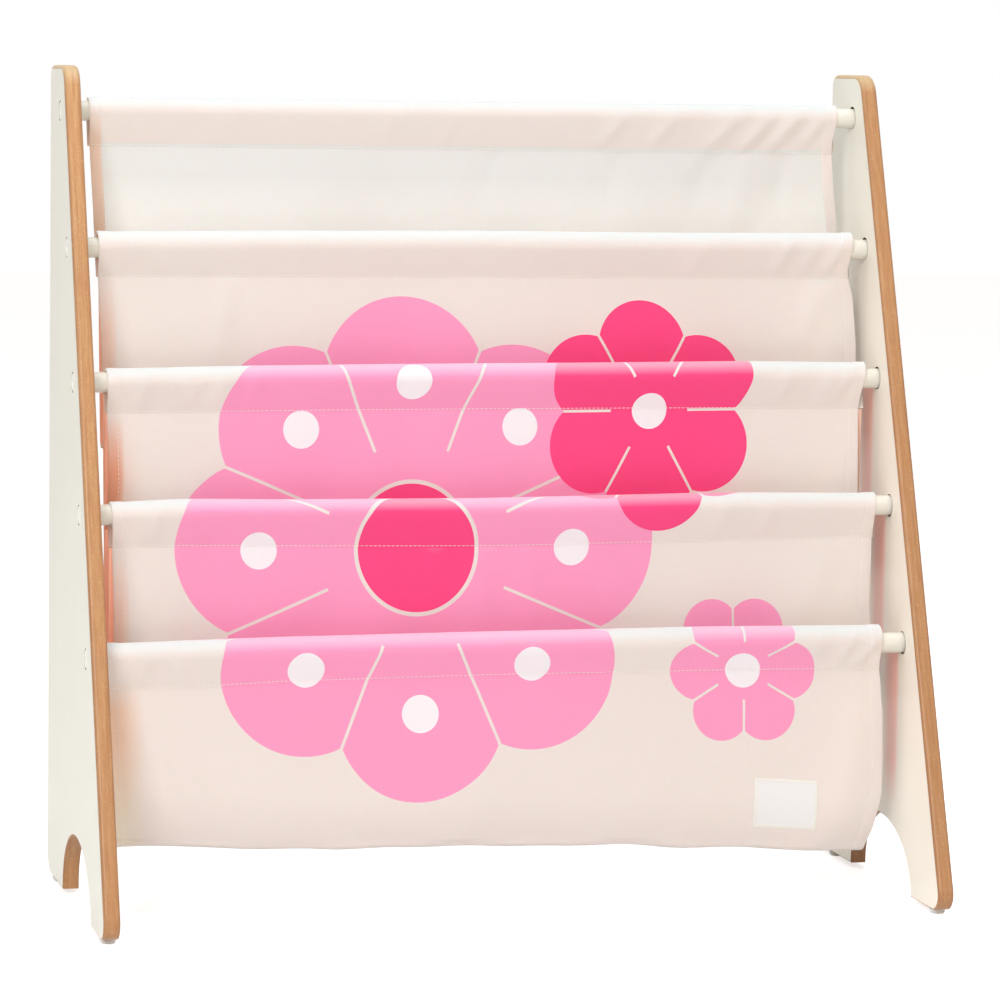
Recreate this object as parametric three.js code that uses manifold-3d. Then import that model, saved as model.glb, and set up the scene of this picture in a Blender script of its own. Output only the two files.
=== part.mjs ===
// Sling bookshelf for a child's room: two A-shaped board side panels, five rods bolted between them
// and a canvas sling that hangs from the rods in four deep pockets. Sizes are in millimetres.
// X runs along the rods, the front faces -Y and Z is up. The origin is on the floor, under the middle.
import * as THREE from "three";
import { mergeVertices } from "three/addons/utils/BufferGeometryUtils.js";
import Module from "manifold-3d";

const wasm = await Module();
wasm.setup();

// The whole rack
const rackWidth = 624; // over the outer faces of the side panels
const rackHeight = 610; // from the floor to the top of the side panels
const footDepth = 289.6; // from the back edges to the sharp corners of the front feet, before rounding
const topDepth = 69; // of the side panels' tops, before rounding

// Clearances that all pieces share
const seatGap = 0.3; // between a piece and what carries it
const cutOverrun = 2; // by which a cutting tool passes the face that it opens

// Side panels
const panelThickness = 12;
const topFrontRadius = 20;
const topBackRadius = 10;
const frontFootRadius = 13;
const backFootRadius = 18;
const edgeRound = 2.5; // round-over along every edge
const archHalfWidth = 69;
const archRise = 50.5; // from the soles of the feet to the crown
const archBehindTip = 130.5; // from the tip of the front foot back to the middle of the arch
const archCrownShift = 3.5; // by which the crown lies behind that middle

// Foot glides and their nails
const glideRadius = 6; // as wide as the board is thick
const glideHeight = 3.5;
const glideRim = 1.2; // height of the upright rim above the rounded lower edge
const frontGlideInset = 20; // from the tip of the front foot to the glide's middle
const backGlideInset = 32; // from the back edge to the glide's middle
const nailHeadRadius = 2.6;
const nailHeadHeight = 1;
const nailRadius = 0.8;
const nailLength = 13; // below the head
const nailPointLength = 2;
const nailHeadInset = 0.5; // of the head above the floor

// Rods
const rodRadius = 7.5;
const topRodDrop = 33.4; // from the top of the panels to the axis of the top rod
const lowestRodHeight = 189.8; // from the floor to the axis of the lowest rod
const rodPitchShares = [1.023, 0.992, 0.961, 1.024]; // of the mean pitch, from the top pair of rods down
const rodBehindFront = 31; // from the panels' front edge to a rod's axis, measured level
const rodRecessClearance = 1; // all round, of the blind recess that a rod's end stands in
const rodRecessDepth = 5;

// Bolts and threaded inserts
const boltHeadRadius = 7;
const boltHeadHeight = 2.7;
const boltHeadRound = 0.7;
const boltRadius = 3;
const boltLength = 15; // below the head
const boltSocketRadius = 2.4; // of the hex socket, over its corners
const boltSocketDepth = 1.8;
const boltHoleClearance = 0.3; // all round a bolt's shank
const counterboreClearance = 0.9; // all round a bolt's head
const counterboreDepth = 3.2;
const insertRadius = 4.6;
const insertLength = 13;
const insertBoreReserve = 4; // depth of the rod's bore past the insert

// Canvas sling
const clothSideGap = 12; // from each side panel to the sling's side edge
const clothSlip = 3; // by which the sling has slipped along a rod, times the rod's share
const clothSlipShares = [-1, -0.2, 0.15, -0.3, -1.9]; // from the top rod down, plus to the right
const clothThickness = 1.1;
const layerGap = 0.4; // between the two layers that a sleeve's seam joins
const sleeveOverhang = 1; // of a sleeve's end past the pockets' side edges
const seamDrop = 24; // mean drop from a rod's axis to the seam that closes its sleeve
const seamDropShares = [1.1, 0.9, 0.93, 1.06, 0.83]; // from the top rod down
const sleeveGrip = 0.3; // from a rod to the sleeve's flanks
// How high each sleeve stands over its rod at its left end, middle and right end, from the top rod down
const sleeveStand = 2;
const sleeveStandShares = [
  [0.6, 0.4, 0.2],
  [1.5, 2.1, 1.7],
  [0.6, 1.7, 2.0],
  [0.3, 0.2, 0.7],
  [1.0, 2.5, 2.3],
];
const pocketDrop = 148; // from the axis of a pocket's front rod to its lowest line
const lowestPocketTilt = 9.5; // by which the lowest pocket's right end hangs low and its left end high
const pocketTurnRadius = 5; // of the turn at a pocket's bottom
const pocketBottomShare = 0.38; // of the way from a pocket's front rod to its back rod
const frontSweepHeight = 36; // over which a pocket's front wall sweeps back to the bottom
const wallWave = 2.4; // depth of the shallow waves in the hanging walls
const waveLength = 290;
const bottomDrawIn = 7; // by which each pocket's lower corners draw in
const drawInHeight = 85;
const drawInFade = 6; // power of the fade of that draw-in from a side edge to the middle

// Label, sewn to the front wall of the lowest pocket
const labelWidth = 48.5;
const labelHeight = 37.5;
const labelThickness = 0.5;
const labelGap = 0.5;
const labelFromRight = 70.5; // from the sling's right edge to the label's middle
const labelRise = 16.7; // from the pocket's lowest line to the label's lower edge

// Numbers of flats on round shapes, and of steps along soft ones
const rodSides = 24;
const holeSides = 20;
const boltSides = 16;
const socketSides = 6;
const insertSides = 12;
const glideSides = 20;
const nailSides = 8;
const cornerSteps = 8;
const archSteps = 24;
const clothStations = 10;
const sleeveStations = 6;
const wallSteps = 7;
const turnSteps = 5;
const sleeveArcSteps = 7;
const labelStations = 2;
const labelSteps = 4;

// Derived places
const panelInnerX = rackWidth / 2 - panelThickness;
const clothWidth = 2 * (panelInnerX - clothSideGap);
const soleZ = glideHeight + seatGap;
const leanSlope = (footDepth - topDepth) / (rackHeight - soleZ);
const frontLean = Math.atan(leanSlope);
// The front foot's rounded tip lies behind its sharp corner
const tipSetback = frontFootRadius * ((1 + Math.sin(frontLean)) / Math.cos(frontLean) - 1);
const backY = (footDepth - tipSetback) / 2;
const frontTipY = -backY;
const frontCorner = new THREE.Vector2(backY - footDepth, soleZ);
const frontEdgeY = (z) => frontCorner.x + (z - soleZ) * leanSlope;
const archMiddleY = frontTipY + archBehindTip;

const rods = [];
const rodPitch = (rackHeight - topRodDrop - lowestRodHeight) / rodPitchShares.length;
let rodZ = rackHeight - topRodDrop;
for (let i = 0; i <= rodPitchShares.length; i += 1) {
  rods.push({
    y: frontEdgeY(rodZ) + rodBehindFront,
    z: rodZ,
    slip: clothSlip * clothSlipShares[i],
    seamDrop: seamDrop * seamDropShares[i],
  });
  rodZ -= rodPitch * (rodPitchShares[i] ?? 0);
}
const rodHalfLength = panelInnerX + rodRecessDepth - seatGap;

// Materials, in the colours of the photograph
const finish = (color, roughness, metalness = 0) =>
  new THREE.MeshStandardMaterial({ color, roughness, metalness });
const panelPaint = finish(0xebe8da, 0.45);
const rodPaint = finish(0xf0eae1, 0.4);
const boltPaint = finish(0xf2f0e8, 0.35);
const insertBrass = finish(0xc2a35a, 0.35, 1);
const glidePlastic = finish(0xdcdcd8, 0.5);
const nailSteel = finish(0xa9abad, 0.35, 1);
const canvas = finish(0xf1e2da, 0.95);
const labelCloth = finish(0xf3f5f3, 0.8);

const rack = new THREE.Group();

function addPiece(name, geometry, material, place = new THREE.Vector3(), turnZ = 0) {
  const piece = new THREE.Mesh(geometry, material);
  piece.name = name;
  piece.position.copy(place);
  piece.rotation.z = turnZ;
  rack.add(piece);
  return piece;
}

// Booleans
function toSolid(geometry) {
  const bare = geometry.clone();
  bare.deleteAttribute("normal");
  bare.deleteAttribute("uv");
  const merged = mergeVertices(bare);
  const vertProperties = new Float32Array(merged.attributes.position.array);
  const triVerts = new Uint32Array(merged.index.array);
  return new wasm.Manifold(new wasm.Mesh({ numProp: 3, vertProperties, triVerts }));
}

function toGeometry(solid) {
  const mesh = solid.getMesh();
  const geometry = new THREE.BufferGeometry();
  geometry.setAttribute("position", new THREE.BufferAttribute(new Float32Array(mesh.vertProperties), 3));
  geometry.setIndex(new THREE.BufferAttribute(new Uint32Array(mesh.triVerts), 1));
  geometry.computeVertexNormals();
  return geometry;
}

// A turned piece whose axis runs along +X. Each profile point is [radius, place along the axis].
function turnedAlongX(profile, sides) {
  const points = profile.map(([radius, along]) => new THREE.Vector2(radius, along));
  return new THREE.LatheGeometry(points, sides).rotateZ(-Math.PI / 2);
}

// A turned piece that stands along +Z
function turnedAlongZ(profile, sides) {
  const points = profile.map(([radius, along]) => new THREE.Vector2(radius, along));
  return new THREE.LatheGeometry(points, sides).rotateX(Math.PI / 2);
}

// Points of the arc that rounds a corner of an outline
function roundedCorner(before, corner, after, radius) {
  const toBefore = before.clone().sub(corner).normalize();
  const toAfter = after.clone().sub(corner).normalize();
  const halfAngle = Math.acos(toBefore.dot(toAfter)) / 2;
  const middle = toBefore.clone().add(toAfter).normalize();
  const centre = corner.clone().addScaledVector(middle, radius / Math.sin(halfAngle));
  const start = corner.clone().addScaledVector(toBefore, radius / Math.tan(halfAngle)).sub(centre);
  const end = corner.clone().addScaledVector(toAfter, radius / Math.tan(halfAngle)).sub(centre);
  const sweep = Math.atan2(start.cross(end), start.dot(end));
  const points = [];
  for (let i = 0; i <= cornerSteps; i += 1) {
    points.push(start.clone().rotateAround(new THREE.Vector2(), (sweep * i) / cornerSteps).add(centre));
  }
  return points;
}

// Outline of a side panel, seen from the end of the rack: x is the rack's Y, y is the height
function panelOutline() {
  const backSole = new THREE.Vector2(backY, soleZ);
  const topFront = new THREE.Vector2(frontEdgeY(rackHeight), rackHeight);
  const topBack = new THREE.Vector2(backY, rackHeight);
  const outline = [];
  for (let i = 0; i <= archSteps; i += 1) {
    const angle = (Math.PI * i) / archSteps;
    const y = archMiddleY + archHalfWidth * Math.cos(angle) + archCrownShift * Math.sin(angle);
    outline.push(new THREE.Vector2(y, soleZ + archRise * Math.sin(angle)));
  }
  outline.push(...roundedCorner(backSole, frontCorner, topFront, frontFootRadius));
  outline.push(...roundedCorner(frontCorner, topFront, topBack, topFrontRadius));
  outline.push(...roundedCorner(topFront, topBack, backSole, topBackRadius));
  outline.push(...roundedCorner(topBack, backSole, frontCorner, backFootRadius));
  return new THREE.Shape(outline);
}

// The stepped hole at each rod, along +X from a panel's outer face: counterbore, bolt hole, rod recess
const boltHoleCutter = toSolid(
  turnedAlongX(
    [
      [0, -cutOverrun],
      [boltHeadRadius + counterboreClearance, -cutOverrun],
      [boltHeadRadius + counterboreClearance, counterboreDepth],
      [boltRadius + boltHoleClearance, counterboreDepth],
      [boltRadius + boltHoleClearance, panelThickness - rodRecessDepth],
      [rodRadius + rodRecessClearance, panelThickness - rodRecessDepth],
      [rodRadius + rodRecessClearance, panelThickness + cutOverrun],
      [0, panelThickness + cutOverrun],
    ],
    holeSides,
  ),
);

// Foot glides, each nailed up into the sole of a foot
const nailHeadTop = nailHeadInset + nailHeadHeight;
const nailTip = nailHeadTop + nailLength;
const feet = [
  { name: "front", y: frontTipY + frontGlideInset },
  { name: "back", y: backY - backGlideInset },
];
const nailHoleCutter = toSolid(
  turnedAlongZ(
    [
      [0, soleZ - cutOverrun],
      [nailRadius + seatGap, soleZ - cutOverrun],
      [nailRadius + seatGap, nailTip + seatGap],
      [0, nailTip + seatGap],
    ],
    nailSides,
  ),
);

// The left panel has its outer face at x = 0 and its inner face at +X
function leftPanelSolid() {
  const board = new THREE.ExtrudeGeometry(panelOutline(), {
    depth: panelThickness - 2 * edgeRound,
    bevelThickness: edgeRound,
    bevelSize: edgeRound,
    bevelOffset: -edgeRound,
    bevelSegments: 2,
  });
  board.translate(0, 0, edgeRound);
  // The outline's x and y become the rack's Y and Z, and the extrusion runs along X
  board.applyMatrix4(new THREE.Matrix4().set(0, 0, 1, 0, 1, 0, 0, 0, 0, 1, 0, 0, 0, 0, 0, 1));
  let solid = toSolid(board);
  for (const rod of rods) {
    solid = solid.subtract(boltHoleCutter.translate([0, rod.y, rod.z]));
  }
  for (const foot of feet) {
    solid = solid.subtract(nailHoleCutter.translate([panelThickness / 2, foot.y, 0]));
  }
  return solid;
}

const leftPanel = leftPanelSolid();
const leftOuterFace = new THREE.Vector3(-rackWidth / 2, 0, 0);
const rightOuterFace = new THREE.Vector3(rackWidth / 2, 0, 0);
addPiece("left_side_panel", toGeometry(leftPanel), panelPaint, leftOuterFace);
addPiece("right_side_panel", toGeometry(leftPanel.mirror([1, 0, 0])), panelPaint, rightOuterFace);

// A glide is a low disc with a stepped hole for its nail
const glideGeometry = turnedAlongZ(
  [
    [nailHeadRadius + seatGap, 0],
    [glideRadius - (glideHeight - glideRim) / 2, 0],
    [glideRadius, glideHeight - glideRim],
    [glideRadius, glideHeight],
    [nailRadius + seatGap, glideHeight],
    [nailRadius + seatGap, nailHeadTop + seatGap],
    [nailHeadRadius + seatGap, nailHeadTop + seatGap],
    [nailHeadRadius + seatGap, 0],
  ],
  glideSides,
);
const nailGeometry = turnedAlongZ(
  [
    [0, nailHeadInset],
    [nailHeadRadius, nailHeadInset],
    [nailHeadRadius, nailHeadTop],
    [nailRadius, nailHeadTop],
    [nailRadius, nailTip - nailPointLength],
    [0, nailTip],
  ],
  nailSides,
);
for (const [side, sign] of [["left", -1], ["right", 1]]) {
  for (const foot of feet) {
    const place = new THREE.Vector3((sign * (rackWidth - panelThickness)) / 2, foot.y, 0);
    addPiece(`foot_glide_${foot.name}_${side}`, glideGeometry, glidePlastic, place);
    addPiece(`glide_nail_${foot.name}_${side}`, nailGeometry, nailSteel, place);
  }
}

// Rods, bored blind at both ends for the threaded inserts
const insertBoreRadius = insertRadius + seatGap;
const insertBoreEnd = rodHalfLength - insertLength - insertBoreReserve;
const rodGeometry = turnedAlongX(
  [
    [0, -insertBoreEnd],
    [insertBoreRadius, -insertBoreEnd],
    [insertBoreRadius, -rodHalfLength],
    [rodRadius, -rodHalfLength],
    [rodRadius, rodHalfLength],
    [insertBoreRadius, rodHalfLength],
    [insertBoreRadius, insertBoreEnd],
    [0, insertBoreEnd],
  ],
  rodSides,
);
const insertGeometry = turnedAlongX(
  [
    [boltRadius + boltHoleClearance, 0],
    [insertRadius, 0],
    [insertRadius, insertLength],
    [boltRadius + boltHoleClearance, insertLength],
    [boltRadius + boltHoleClearance, 0],
  ],
  insertSides,
);

// Bolts, from the top of the head at x = 0 along +X into the rod
const boltBlank = turnedAlongX(
  [
    [0, 0],
    [boltHeadRadius - boltHeadRound, 0],
    [boltHeadRadius, boltHeadRound],
    [boltHeadRadius, boltHeadHeight],
    [boltRadius, boltHeadHeight],
    [boltRadius, boltHeadHeight + boltLength],
    [0, boltHeadHeight + boltLength],
  ],
  boltSides,
);
const hexSocket = turnedAlongX(
  [
    [0, -cutOverrun],
    [boltSocketRadius, -cutOverrun],
    [boltSocketRadius, boltSocketDepth],
    [0, boltSocketDepth],
  ],
  socketSides,
);
const boltGeometry = toGeometry(toSolid(boltBlank).subtract(toSolid(hexSocket)));
const boltHeadInset = counterboreDepth - seatGap - boltHeadHeight;

rods.forEach((rod, i) => {
  addPiece(`rod_${i + 1}`, rodGeometry, rodPaint, new THREE.Vector3(0, rod.y, rod.z));
  for (const [side, sign] of [["left", -1], ["right", 1]]) {
    const turn = sign < 0 ? 0 : Math.PI;
    const insertPlace = new THREE.Vector3(sign * rodHalfLength, rod.y, rod.z);
    const boltPlace = new THREE.Vector3(sign * (rackWidth / 2 - boltHeadInset), rod.y, rod.z);
    addPiece(`insert_${side}_${i + 1}`, insertGeometry, insertBrass, insertPlace, turn);
    addPiece(`bolt_${side}_${i + 1}`, boltGeometry, boltPaint, boltPlace, turn);
  }
});

// A band of cloth of even thickness. Each section is the path of the cloth's middle at one place
// along X, and the band's outer side lies to the left of the path when seen from the right panel.
function clothBand(sections, thickness) {
  const count = sections[0].length;
  const outer = [];
  const inner = [];
  for (const path of sections) {
    path.forEach((point, j) => {
      const before = path[Math.max(j - 1, 0)];
      const after = path[Math.min(j + 1, count - 1)];
      const arriving = new THREE.Vector2(point.y - before.y, point.z - before.z);
      const leaving = new THREE.Vector2(after.y - point.y, after.z - point.z);
      if (j === 0) arriving.copy(leaving);
      if (j === count - 1) leaving.copy(arriving);
      // The sum of two unit steps is twice the cosine of half the turn between them
      const along = arriving.normalize().add(leaving.normalize());
      const reach = thickness / along.lengthSq();
      const offset = new THREE.Vector3(0, -along.y * reach, along.x * reach);
      outer.push(point.clone().add(offset));
      inner.push(point.clone().sub(offset));
    });
  }
  const corners = [...outer, ...inner];
  const faces = [];
  const quad = (a, b, c, d) => faces.push(a, b, c, a, c, d);
  const at = (section, j) => section * count + j;
  const under = outer.length;
  for (let i = 0; i < sections.length - 1; i += 1) {
    for (let j = 0; j < count - 1; j += 1) {
      quad(at(i, j), at(i + 1, j), at(i + 1, j + 1), at(i, j + 1));
      quad(under + at(i, j), under + at(i, j + 1), under + at(i + 1, j + 1), under + at(i + 1, j));
    }
    const last = count - 1;
    quad(at(i, 0), under + at(i, 0), under + at(i + 1, 0), at(i + 1, 0));
    quad(at(i, last), at(i + 1, last), under + at(i + 1, last), under + at(i, last));
  }
  const end = sections.length - 1;
  for (let j = 0; j < count - 1; j += 1) {
    quad(at(0, j), at(0, j + 1), under + at(0, j + 1), under + at(0, j));
    quad(at(end, j), under + at(end, j), under + at(end, j + 1), at(end, j + 1));
  }
  const geometry = new THREE.BufferGeometry().setFromPoints(corners);
  geometry.setIndex(faces);
  geometry.computeVertexNormals();
  return geometry;
}

// Values at the left end, middle and right end, blended smoothly; across runs from -1 to 1
function blendAcross([left, middle, right], across) {
  return middle + ((right - left) / 2) * across + ((right + left) / 2 - middle) * across * across;
}

// At a sleeve's seam the layer that comes from its front lies ahead of the layer from its back
const layerOffset = (clothThickness + layerGap) / 2;

// A sleeve goes up the rod's front from the seam, over the rod, and down the back to the seam
function sleeveSection(rod, standShares, across) {
  const gripRadius = rodRadius + sleeveGrip;
  const stand = sleeveStand * blendAcross(standShares, across);
  const lift = stand / (1 + gripRadius / rod.seamDrop);
  const radius = gripRadius * (1 + lift / rod.seamDrop) + clothThickness / 2;
  const centre = new THREE.Vector3(0, rod.y, rod.z + lift);
  const drop = rod.seamDrop + lift;
  const reach = Math.hypot(layerOffset, drop);
  const frontTouch = Math.atan2(-drop, -layerOffset) - Math.acos(radius / reach);
  const wrap = 2 * frontTouch + 3 * Math.PI;
  const x = rod.slip + across * (clothWidth / 2 + sleeveOverhang);
  const path = [new THREE.Vector3(x, rod.y - layerOffset, rod.z - rod.seamDrop)];
  // The arc's points lie a little outside it, so that its chords touch it
  const halfStep = wrap / sleeveArcSteps / 2;
  for (let i = 0; i < sleeveArcSteps; i += 1) {
    const angle = frontTouch - halfStep * (2 * i + 1);
    const spread = radius / Math.cos(halfStep);
    path.push(new THREE.Vector3(x, centre.y + spread * Math.cos(angle), centre.z + spread * Math.sin(angle)));
  }
  path.push(new THREE.Vector3(x, rod.y + layerOffset, rod.z - rod.seamDrop));
  return path;
}

rods.forEach((rod, i) => {
  const sections = [];
  for (let station = 0; station <= sleeveStations; station += 1) {
    sections.push(sleeveSection(rod, sleeveStandShares[i], (2 * station) / sleeveStations - 1));
  }
  addPiece(`sleeve_${i + 1}`, clothBand(sections, clothThickness), canvas);
});

// The middle of a pocket's cloth at one place along X, as functions of height where it hangs
function pocketShape(index, across) {
  const back = rods[index];
  const front = rods[index + 1];
  const tilt = index === rods.length - 2 ? lowestPocketTilt : 0;
  const bottom = front.z - pocketDrop - tilt * across;
  const turnZ = bottom + pocketTurnRadius + clothThickness / 2;
  const turnY = front.y + (back.y - front.y) * pocketBottomShare;
  const phase = (2 * Math.PI * across * clothWidth) / 2 / waveLength + index;
  const backTop = new THREE.Vector2(back.y - layerOffset, back.z - back.seamDrop - seatGap);
  const frontTop = new THREE.Vector2(front.y + layerOffset, front.z - front.seamDrop - seatGap);
  const belly = (z, top) => Math.sin((Math.PI * (z - turnZ)) / (top.y - turnZ)) * wallWave;
  const backWallY = (z) => {
    const down = (backTop.y - z) / (backTop.y - turnZ);
    const sag = belly(z, backTop) * (1 + Math.sin(phase)) * 0.5;
    return backTop.x + (turnY + pocketTurnRadius - backTop.x) * down * down - sag;
  };
  const frontWallY = (z) => {
    const left = 1 - Math.min((z - turnZ) / frontSweepHeight, 1);
    const sag = belly(z, frontTop) * (1 + Math.cos(phase)) * 0.5;
    return frontTop.x + (turnY - pocketTurnRadius - frontTop.x) * left * left + sag;
  };
  // The share runs from 0 at the cloth's upper end behind to 1 at its upper end in front
  const sideX = (z, share) => {
    const low = Math.max(1 - (z - bottom) / drawInHeight, 0);
    const drawIn = bottomDrawIn * low * low * across ** drawInFade;
    return THREE.MathUtils.lerp(back.slip, front.slip, share) + across * (clothWidth / 2 - drawIn);
  };
  return { bottom, backTop, frontTop, turnY, turnZ, backWallY, frontWallY, sideX };
}

// A pocket hangs from the sleeve behind it, turns at its bottom and rises to the sleeve before it
function pocketSection(index, across) {
  const shape = pocketShape(index, across);
  const path = [];
  const stepCount = 2 * wallSteps + turnSteps;
  const add = (y, z) => path.push(new THREE.Vector3(shape.sideX(z, path.length / stepCount), y, z));
  for (let i = 0; i <= wallSteps; i += 1) {
    const z = THREE.MathUtils.lerp(shape.backTop.y, shape.turnZ, i / wallSteps);
    add(shape.backWallY(z), z);
  }
  for (let i = 1; i < turnSteps; i += 1) {
    const angle = (-Math.PI * i) / turnSteps;
    add(shape.turnY + pocketTurnRadius * Math.cos(angle), shape.turnZ + pocketTurnRadius * Math.sin(angle));
  }
  for (let i = 0; i <= wallSteps; i += 1) {
    const z = THREE.MathUtils.lerp(shape.turnZ, shape.frontTop.y, i / wallSteps);
    add(shape.frontWallY(z), z);
  }
  return path;
}

for (let index = 0; index < rods.length - 1; index += 1) {
  const sections = [];
  for (let station = 0; station <= clothStations; station += 1) {
    sections.push(pocketSection(index, (2 * station) / clothStations - 1));
  }
  addPiece(`pocket_${index + 1}`, clothBand(sections, clothThickness), canvas);
}

// The label lies along the lowest pocket's front wall
const labelMiddleX = rods.at(-1).slip + clothWidth / 2 - labelFromRight;
const labelSections = [];
for (let station = 0; station <= labelStations; station += 1) {
  const x = labelMiddleX + labelWidth * (station / labelStations - 0.5);
  const wall = pocketShape(rods.length - 2, (x - rods.at(-1).slip) / (clothWidth / 2));
  const path = [];
  for (let i = 0; i <= labelSteps; i += 1) {
    const z = wall.bottom + labelRise + (labelHeight * i) / labelSteps;
    path.push(new THREE.Vector3(x, wall.frontWallY(z) - clothThickness / 2 - labelGap - labelThickness / 2, z));
  }
  labelSections.push(path);
}
addPiece("label", clothBand(labelSections, labelThickness), labelCloth);

export default rack;
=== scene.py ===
# Sling bookshelf for a child's room: two leaning board sides, five bolted rods between them, and a
# canvas sling that hangs from the rods in four deep pockets. Sizes are in millimetres until a mesh
# is made. X runs along the rods, the front faces -Y, Z is up, and the floor is at 0.
import math

import bmesh
import bpy
import numpy as np
from mathutils import Matrix, Vector


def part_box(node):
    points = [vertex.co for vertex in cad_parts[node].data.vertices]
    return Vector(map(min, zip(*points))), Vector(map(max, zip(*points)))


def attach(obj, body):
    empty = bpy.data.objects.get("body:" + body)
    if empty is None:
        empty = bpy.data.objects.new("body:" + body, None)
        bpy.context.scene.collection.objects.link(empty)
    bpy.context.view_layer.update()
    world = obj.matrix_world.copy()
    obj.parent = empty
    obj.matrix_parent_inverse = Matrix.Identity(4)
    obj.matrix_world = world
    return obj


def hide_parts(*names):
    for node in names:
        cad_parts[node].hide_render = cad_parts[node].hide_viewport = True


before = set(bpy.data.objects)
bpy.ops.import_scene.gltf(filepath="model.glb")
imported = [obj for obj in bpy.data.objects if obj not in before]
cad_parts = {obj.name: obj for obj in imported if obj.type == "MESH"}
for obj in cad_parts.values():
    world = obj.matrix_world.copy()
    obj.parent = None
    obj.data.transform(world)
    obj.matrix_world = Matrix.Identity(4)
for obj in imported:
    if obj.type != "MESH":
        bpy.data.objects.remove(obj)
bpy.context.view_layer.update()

# ---- Side panels ---------------------------------------------------------------------------------
# Two 12 mm fibreboards, routed to an A shape with an arch between the feet. The faces are painted
# off-white before routing, so the rounded edges show the brown board under a clear lacquer.
# Each rod ends in a blind recess in the inner face, over a stepped hole for its bolt.
MM = 0.001
board_thickness = 12
outer_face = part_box("right_side_panel")[1][0] / MM
inner_face = outer_face - board_thickness
sole_height = 3.8
rack_height = 610
front_corner = -147.58  # where the front edge would meet the sole if the toe weren't rounded
back_edge = 142.02
edge_slope = 0.36386
edge_round = 2.9
sole_round = 0.9
toe_radius = 13
heel_radius = 18
top_front_radius = 20
top_back_radius = 10
arch_middle = -11.52
arch_half_width = 69
arch_rise = 50.5
arch_crown_shift = 3.5
rod_radius = 7.5
bolt_head_radius = 7
rod_axes = []
for number in range(1, 6):
    low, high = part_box(f"rod_{number}")
    rod_axes.append(((low[1] + high[1]) / 2 / MM, (low[2] + high[2]) / 2 / MM))


class Value:
    """A socket in a material's tree. Sums of values add Math nodes, make() adds any other node."""

    def __init__(self, tree, socket=None):
        self.tree = tree
        self.socket = socket

    def make(self, kind, settings=None, inputs=None, output=0):
        node = self.tree.nodes.new(kind)
        for name, setting in (settings or {}).items():
            setattr(node, name, setting)
        for name, value in (inputs or {}).items():
            if isinstance(value, Value):
                self.tree.links.new(value.socket, node.inputs[name])
            else:
                node.inputs[name].default_value = value
        return Value(self.tree, node.outputs[output])

    def other(self, output):
        """Another output of the node that this value comes from."""
        return Value(self.tree, self.socket.node.outputs[output])

    def math(self, operation, first, second=0.0):
        return self.make("ShaderNodeMath", {"operation": operation}, {0: first, 1: second})

    def __add__(self, other):
        return self.math("ADD", self, other)

    def __sub__(self, other):
        return self.math("SUBTRACT", self, other)

    def __rsub__(self, other):
        return self.math("SUBTRACT", other, self)

    def __mul__(self, other):
        return self.math("MULTIPLY", self, other)

    def __lt__(self, other):
        return self.math("LESS_THAN", self, other)

    def __gt__(self, other):
        return self.math("GREATER_THAN", self, other)

    __radd__ = __add__
    __rmul__ = __mul__


def colour(red, green, blue):
    """A colour as seen on a screen, from 0 to 255, in the linear values that a shader takes."""
    linear = [
        c / 255 / 12.92 if c <= 10.3 else ((c / 255 + 0.055) / 1.055) ** 2.4
        for c in (red, green, blue)
    ]
    return (*linear, 1.0)


def tinted(factor, under, over):
    """Colour under, turned to colour over where the factor is 1."""
    return factor.make(
        "ShaderNodeMix", {"data_type": "RGBA"}, {0: factor, 6: under, 7: over}, output=2
    )


def layered(under, *tints):
    """A colour with others laid over it in turn, each with its share and its colour on a screen."""
    for share, screen_colour in tints:
        under = tinted(share, under, colour(*screen_colour))
    return under


def ramp(value, start, end):
    """A share that goes from 0 where the value is start to 1 where it is end."""
    return value.make("ShaderNodeMapRange", {}, {"Value": value, 1: start, 2: end})


def parts(place):
    """The X, Y and Z of a place."""
    x = place.make("ShaderNodeSeparateXYZ", {}, {0: place})
    return x, x.other(1), x.other(2)


def new_finish(name, **fixed):
    """A material, with the settings that are the same all over it on the shader's own sockets."""
    material = bpy.data.materials.new(name)
    material.use_nodes = True
    shader = material.node_tree.nodes["Principled BSDF"]
    for socket, value in fixed.items():
        shader.inputs[socket.replace("_", " ")].default_value = value
    return material, Value(material.node_tree), shader


def finish_with(root, shader, **varying):
    """Links values that vary over the surface to the shader."""
    for socket, value in varying.items():
        root.tree.links.new(value.socket, shader.inputs[socket.replace("_", " ")])


def on_piece(root):
    """Places on a piece, in metres."""
    return root.make("ShaderNodeTexCoord", output="Object")


def noise(root, place, size, stretch=(1, 1, 1), detail=2.0, roughness=0.5):
    """Noise whose grains are about size millimetres, longer where stretch is over 1."""
    scale = [1 / (size * MM * s) for s in stretch]
    spread = root.make("ShaderNodeMapping", {}, {"Vector": place, "Scale": scale})
    inputs = {"Vector": spread, "Scale": 1.0, "Detail": detail, "Roughness": roughness}
    return root.make("ShaderNodeTexNoise", {}, inputs)


def bumped(root, height, depth):
    """A normal from a height between 0 and 1, which stands for depth millimetres."""
    inputs = {"Height": height, "Distance": depth * MM, "Strength": 1.0}
    return root.make("ShaderNodeBump", {}, inputs)


def grained_finish(name, grain, low, high, depth, roughness=None, **fixed):
    """A finish with one grain, given as settings for noise(). Its low and high places have colours
    of their own, and its bumps are depth millimetres high. Roughness is a start and an addition."""
    material, root, shader = new_finish(name, **fixed)
    height = noise(root, on_piece(root), **grain)
    varying = {"Base_Color": tinted(height, colour(*low), colour(*high))}
    if roughness:
        varying["Roughness"] = roughness[0] + roughness[1] * height
    finish_with(root, shader, Normal=bumped(root, height, depth), **varying)
    return material


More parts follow.
